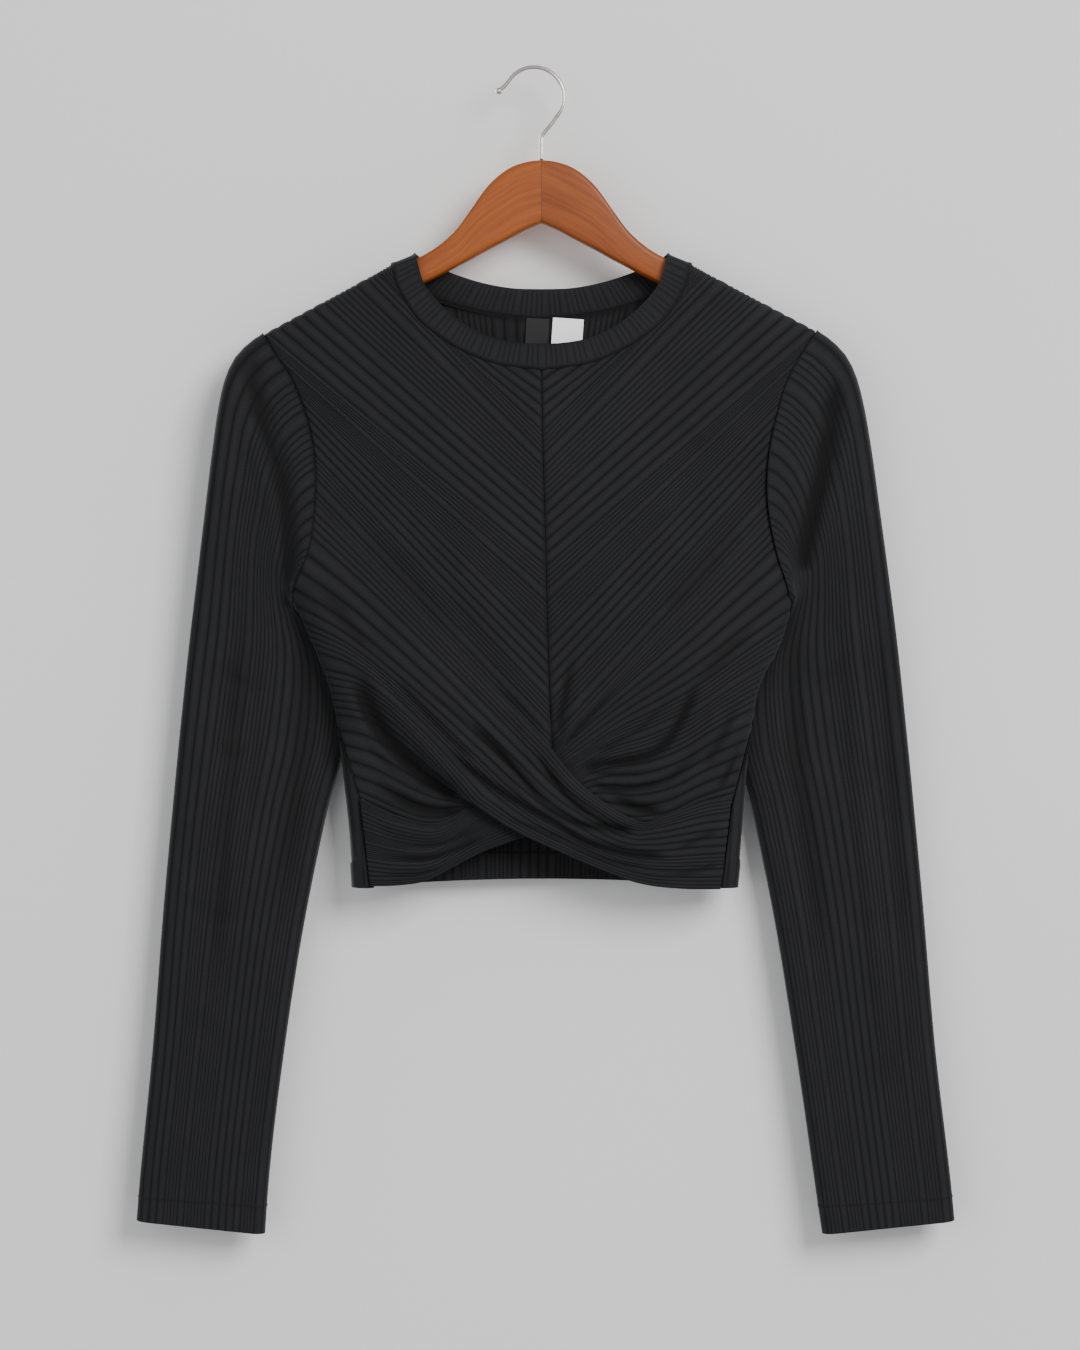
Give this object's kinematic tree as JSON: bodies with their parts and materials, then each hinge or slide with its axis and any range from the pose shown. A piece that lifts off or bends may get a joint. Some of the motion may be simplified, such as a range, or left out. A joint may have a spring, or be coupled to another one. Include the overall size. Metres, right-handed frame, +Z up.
{
  "type": "crop top on a hanger",
  "caption": "Long-sleeved cropped rib-knit top with a twisted front hem, hanging flat on a wooden hanger with a wire hook.",
  "frame": {"origin": "underside of the hook's wire at the middle, where a rail carries the hanger", "axes": "+Z up, the garment's front faces -Y, +X to the right of someone who looks at the front"},
  "size_m": [0.5578, 0.0538, 0.7948],
  "materials": {
    "knit": "matte variegated rib knit",
    "label_black": "satin woven label, bare",
    "label_white": "satin care label, bare",
    "wood": "varnished orange-brown wood",
    "wire": "bright nickel-plated wire"
  },
  "bodies": {
    "root": {"front_over": "knit", "front_under": "knit", "back": "knit", "sleeve_left": "knit", "sleeve_right": "knit", "neckband": "knit", "label_black": "label_black", "label_white": "label_white", "hanger_arms": "wood", "hanger_hook": "wire"}
  },
  "joints": []
}
